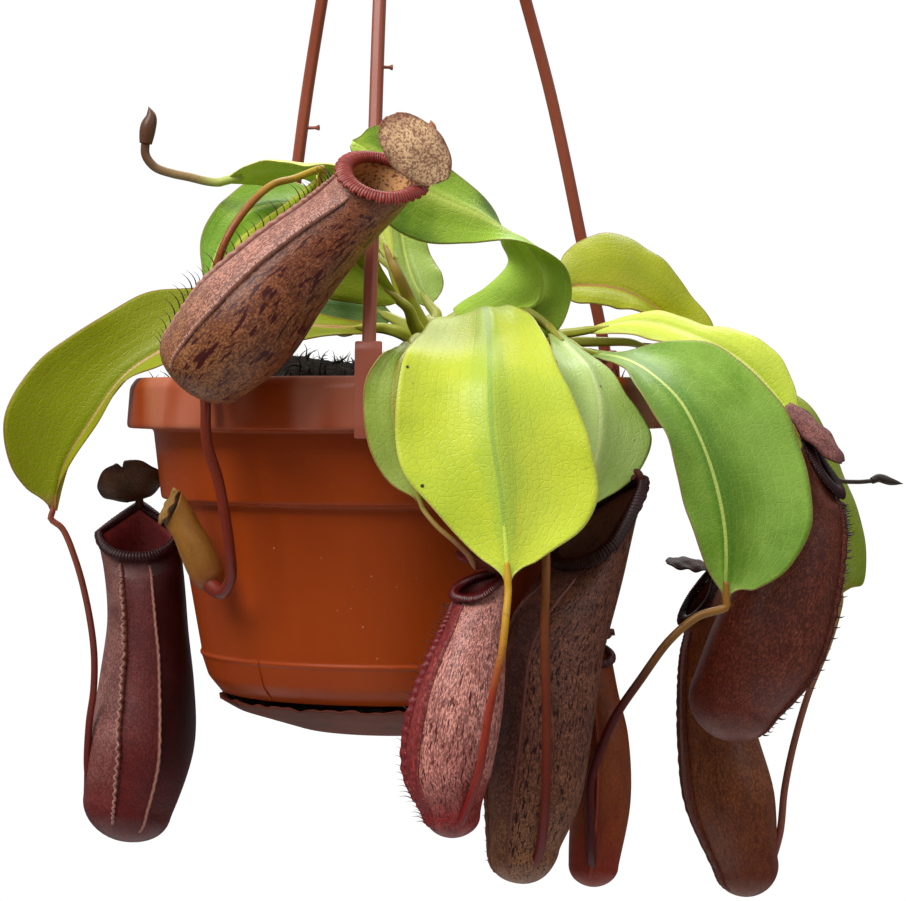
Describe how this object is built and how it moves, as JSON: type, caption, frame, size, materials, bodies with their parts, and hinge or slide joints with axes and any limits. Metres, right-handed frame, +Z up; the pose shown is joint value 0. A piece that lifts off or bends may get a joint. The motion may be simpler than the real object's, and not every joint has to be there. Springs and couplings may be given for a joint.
{
  "type": "hanging pitcher plant",
  "caption": "Tropical pitcher plant with broad leaves and speckled fringed pitchers on tendrils, in a plastic hanging pot with saucer and a three-rod hanger with a hook.",
  "frame": {"origin": "the seat inside the top of the hook, where the pot hangs", "axes": "+Z up along the pot's axis, -Y towards the side with the large pitcher under the front rod"},
  "size_m": [0.2329, 0.1606, 0.3796],
  "materials": {
    "pot_plastic": "moulded, satin",
    "saucer_plastic": "moulded, satin, soiled",
    "soil": "fibrous growing mix",
    "hanger_plastic": "moulded, satin",
    "stem": "satin, green with red-brown edges",
    "leaf_olive": "satin leaf with a pale midrib",
    "leaf_yellow_green": "satin leaf with a grey-green zone along the midrib",
    "leaf_green": "satin leaf with a pale midrib",
    "pitcher": "satin, speckled",
    "pitcher_young": "satin",
    "peristome_red": "glossy, ribbed",
    "peristome_dark": "glossy, ribbed",
    "lid": "satin, speckled",
    "tendril": "satin"
  },
  "bodies": {
    "root": {"pot": "pot_plastic", "saucer": "saucer_plastic", "soil": "soil", "hanger": "hanger_plastic", "stem": "stem", "leaf_1": "leaf_olive", "leaf_2": "leaf_yellow_green", "leaf_3": "leaf_green", "leaf_4": "leaf_green", "leaf_5": "leaf_olive", "leaf_6": "leaf_yellow_green", "leaf_7": "leaf_green", "leaf_8": "leaf_yellow_green", "leaf_9": "leaf_green", "leaf_10": "leaf_yellow_green", "leaf_11": "leaf_green", "leaf_12": "leaf_green", "leaf_13": "leaf_olive", "leaf_14": "leaf_olive", "pitcher_1": "pitcher", "peristome_1": "peristome_red", "lid_1": "lid", "pitcher_2": "pitcher", "peristome_2": "peristome_dark", "lid_2": "lid", "pitcher_3": "pitcher_young", "lid_3": "lid", "pitcher_4": "pitcher", "peristome_4": "peristome_dark", "lid_4": "lid", "pitcher_5": "pitcher", "peristome_5": "peristome_dark", "lid_5": "lid", "pitcher_6": "pitcher", "peristome_6": "peristome_dark", "lid_6": "lid", "pitcher_7": "pitcher", "peristome_7": "peristome_dark", "lid_7": "lid", "pitcher_8": "pitcher", "peristome_8": "peristome_dark", "lid_8": "lid", "bud_upper_left": "tendril", "bud_right": "tendril", "bud_top": "tendril", "tendril_front": "tendril"}
  },
  "joints": []
}
